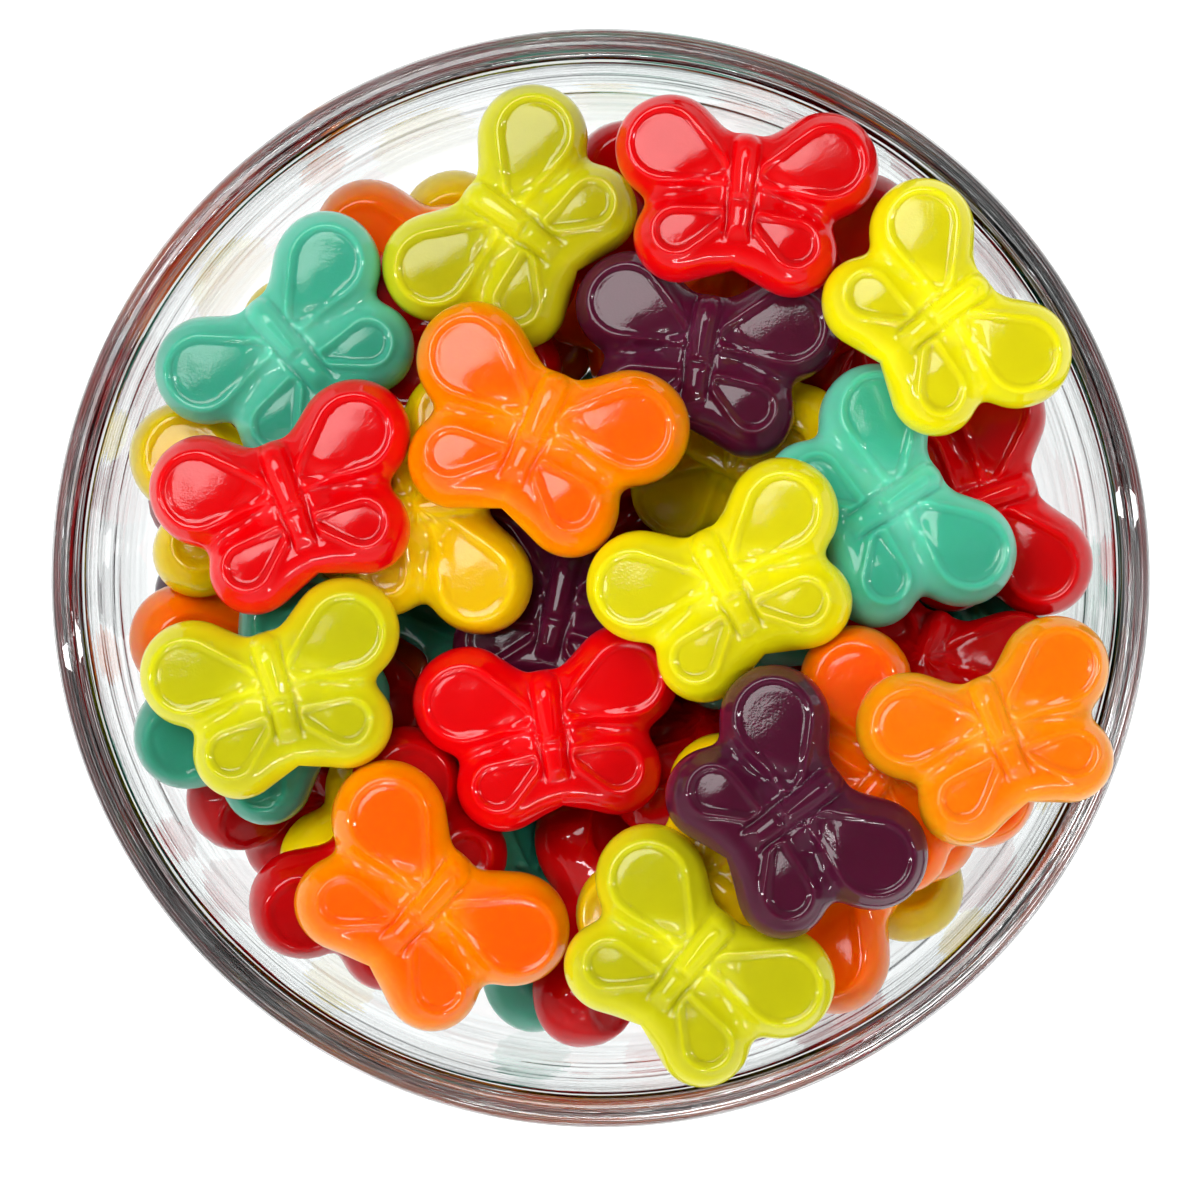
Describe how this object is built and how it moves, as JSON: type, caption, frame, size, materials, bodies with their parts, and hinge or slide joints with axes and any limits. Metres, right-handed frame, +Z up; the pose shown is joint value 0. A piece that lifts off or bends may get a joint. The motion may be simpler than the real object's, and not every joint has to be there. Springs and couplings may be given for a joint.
{
  "type": "gummy butterfly",
  "caption": "Moulded butterfly-shaped fruit gummies in mixed colours, heaped in a round clear glass bowl on a low foot ring.",
  "frame": {"origin": "centre of the bowl's foot, on the surface it stands on", "axes": "+Z up through the bowl's mouth, +X to the right and +Y away from a viewer who stands before the bowl"},
  "size_m": [0.15, 0.15, 0.0829],
  "materials": {
    "glass": "clear pressed soda-lime glass, fire-polished",
    "gummy_red": "translucent red fruit jelly, moulded in starch and oiled",
    "gummy_orange": "translucent orange fruit jelly, moulded in starch and oiled",
    "gummy_amber": "translucent light orange fruit jelly, moulded in starch and oiled",
    "gummy_yellow": "translucent yellow fruit jelly, moulded in starch and oiled",
    "gummy_lime": "translucent yellow-green fruit jelly, moulded in starch and oiled",
    "gummy_teal": "translucent blue-green fruit jelly, moulded in starch and oiled",
    "gummy_purple": "translucent dark purple fruit jelly, moulded in starch and oiled"
  },
  "bodies": {
    "root": {"bowl": "glass", "heap": "gummy_red", "under_01_purple": "gummy_purple", "under_02_yellow": "gummy_yellow", "under_03_yellow": "gummy_yellow", "under_04_orange": "gummy_orange", "under_05_red": "gummy_red", "under_06_orange": "gummy_orange", "under_07_purple": "gummy_purple", "under_08_orange": "gummy_orange", "under_09_yellow": "gummy_yellow", "under_10_teal": "gummy_teal", "under_11_red": "gummy_red", "under_12_yellow": "gummy_yellow", "under_13_red": "gummy_red", "under_14_teal": "gummy_teal", "under_15_red": "gummy_red", "under_16_red": "gummy_red", "under_17_red": "gummy_red", "under_18_yellow": "gummy_yellow", "under_19_orange": "gummy_orange", "under_20_red": "gummy_red", "under_21_teal": "gummy_teal", "under_22_red": "gummy_red", "under_23_red": "gummy_red", "under_24_yellow": "gummy_yellow", "under_25_teal": "gummy_teal", "under_26_yellow": "gummy_yellow", "under_27_orange": "gummy_orange", "under_28_red": "gummy_red", "under_29_red": "gummy_red", "under_30_yellow": "gummy_yellow", "under_31_teal": "gummy_teal", "top_01_purple": "gummy_purple", "top_02_red": "gummy_red", "top_03_teal": "gummy_teal", "top_04_lime": "gummy_lime", "top_05_amber": "gummy_amber", "top_06_lime": "gummy_lime", "top_07_red": "gummy_red", "top_08_yellow": "gummy_yellow", "top_09_teal": "gummy_teal", "top_10_lime": "gummy_lime", "top_11_purple": "gummy_purple", "top_12_purple": "gummy_purple", "top_13_red": "gummy_red", "top_14_orange": "gummy_orange", "top_15_orange": "gummy_orange", "top_16_yellow": "gummy_yellow", "top_17_red": "gummy_red"}
  },
  "joints": []
}
